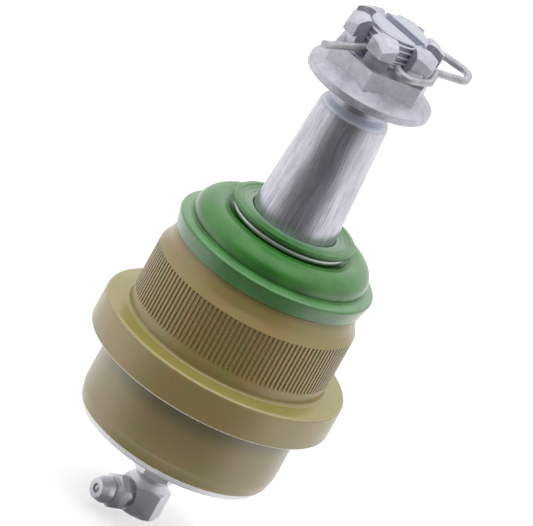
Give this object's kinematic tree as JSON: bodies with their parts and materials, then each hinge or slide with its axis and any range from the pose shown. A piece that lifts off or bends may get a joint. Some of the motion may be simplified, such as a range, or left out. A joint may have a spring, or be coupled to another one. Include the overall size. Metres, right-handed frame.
{
  "type": "suspension ball joint",
  "caption": "Press-in suspension ball joint: knurled flanged housing, tapered threaded stud, castellated flange nut with hairpin, rubber dust boot and angled grease fitting.",
  "frame": {"origin": "centre of the ball, on the press body's axis, inside the span of its smooth collar", "axes": "+Z along the press body's axis towards the stud's threaded end; -Y is the side that the picture shows"},
  "size_m": [0.065, 0.065, 0.1435],
  "materials": {
    "housing_coating": "satin olive-tan conversion coating on forged steel",
    "bearing_polymer": "moulded acetal",
    "plain_steel": "bare turned or pressed steel",
    "spring_steel": "tempered spring steel",
    "cover_zinc": "bright zinc plate",
    "seal_rubber": "moulded nitrile rubber",
    "fitting_zinc": "zinc-plated steel",
    "boot_rubber": "green moulded rubber with a soft sheen",
    "ring_steel": "drawn steel wire",
    "stud_steel": "ground and lengthwise polished steel",
    "nut_zinc": "matt zinc plate on forged steel",
    "pin_steel": "zinc-plated wire"
  },
  "bodies": {
    "housing": {"housing": "housing_coating", "upper_bearing": "bearing_polymer", "lower_bearing": "bearing_polymer", "pressure_plate": "plain_steel", "preload_spring": "spring_steel", "cover_plate": "cover_zinc", "cover_seal": "seal_rubber", "grease_fitting_body": "fitting_zinc", "grease_nozzle": "fitting_zinc", "check_spring": "spring_steel", "boot_base_ring": "plain_steel"},
    "check_ball": {"check_ball": "plain_steel"},
    "boot": {"dust_boot": "boot_rubber"},
    "boot_neck": {"boot_neck_ring": "ring_steel"},
    "stud": {"ball_stud": "stud_steel", "castle_nut": "nut_zinc", "cotter_pin": "pin_steel"}
  },
  "joints": [
    {"name": "swing_x", "type": "hinge", "parent": "housing", "child": "boot", "pos_m": [0, 0, 0], "axis": [1, 0, 0], "range_deg": [-14, 14], "deforming": ["dust_boot"]},
    {"name": "swing_y", "type": "hinge", "parent": "boot", "child": "boot_neck", "pos_m": [0, 0, 0], "axis": [0, 1, 0], "range_deg": [-14, 14], "deforming": ["dust_boot"]},
    {"name": "stud_spin", "type": "hinge", "parent": "boot_neck", "child": "stud", "pos_m": [0, 0, 0], "axis": [0, 0, 1], "continuous": true},
    {"name": "check_ball_push", "type": "slide", "parent": "housing", "child": "check_ball", "axis": [0.7193, 0.6947, 0], "range_m": [0, 0.0008], "stiffness_N_per_m": 250, "springref_m": -0.001, "deforming": ["check_spring"]}
  ]
}
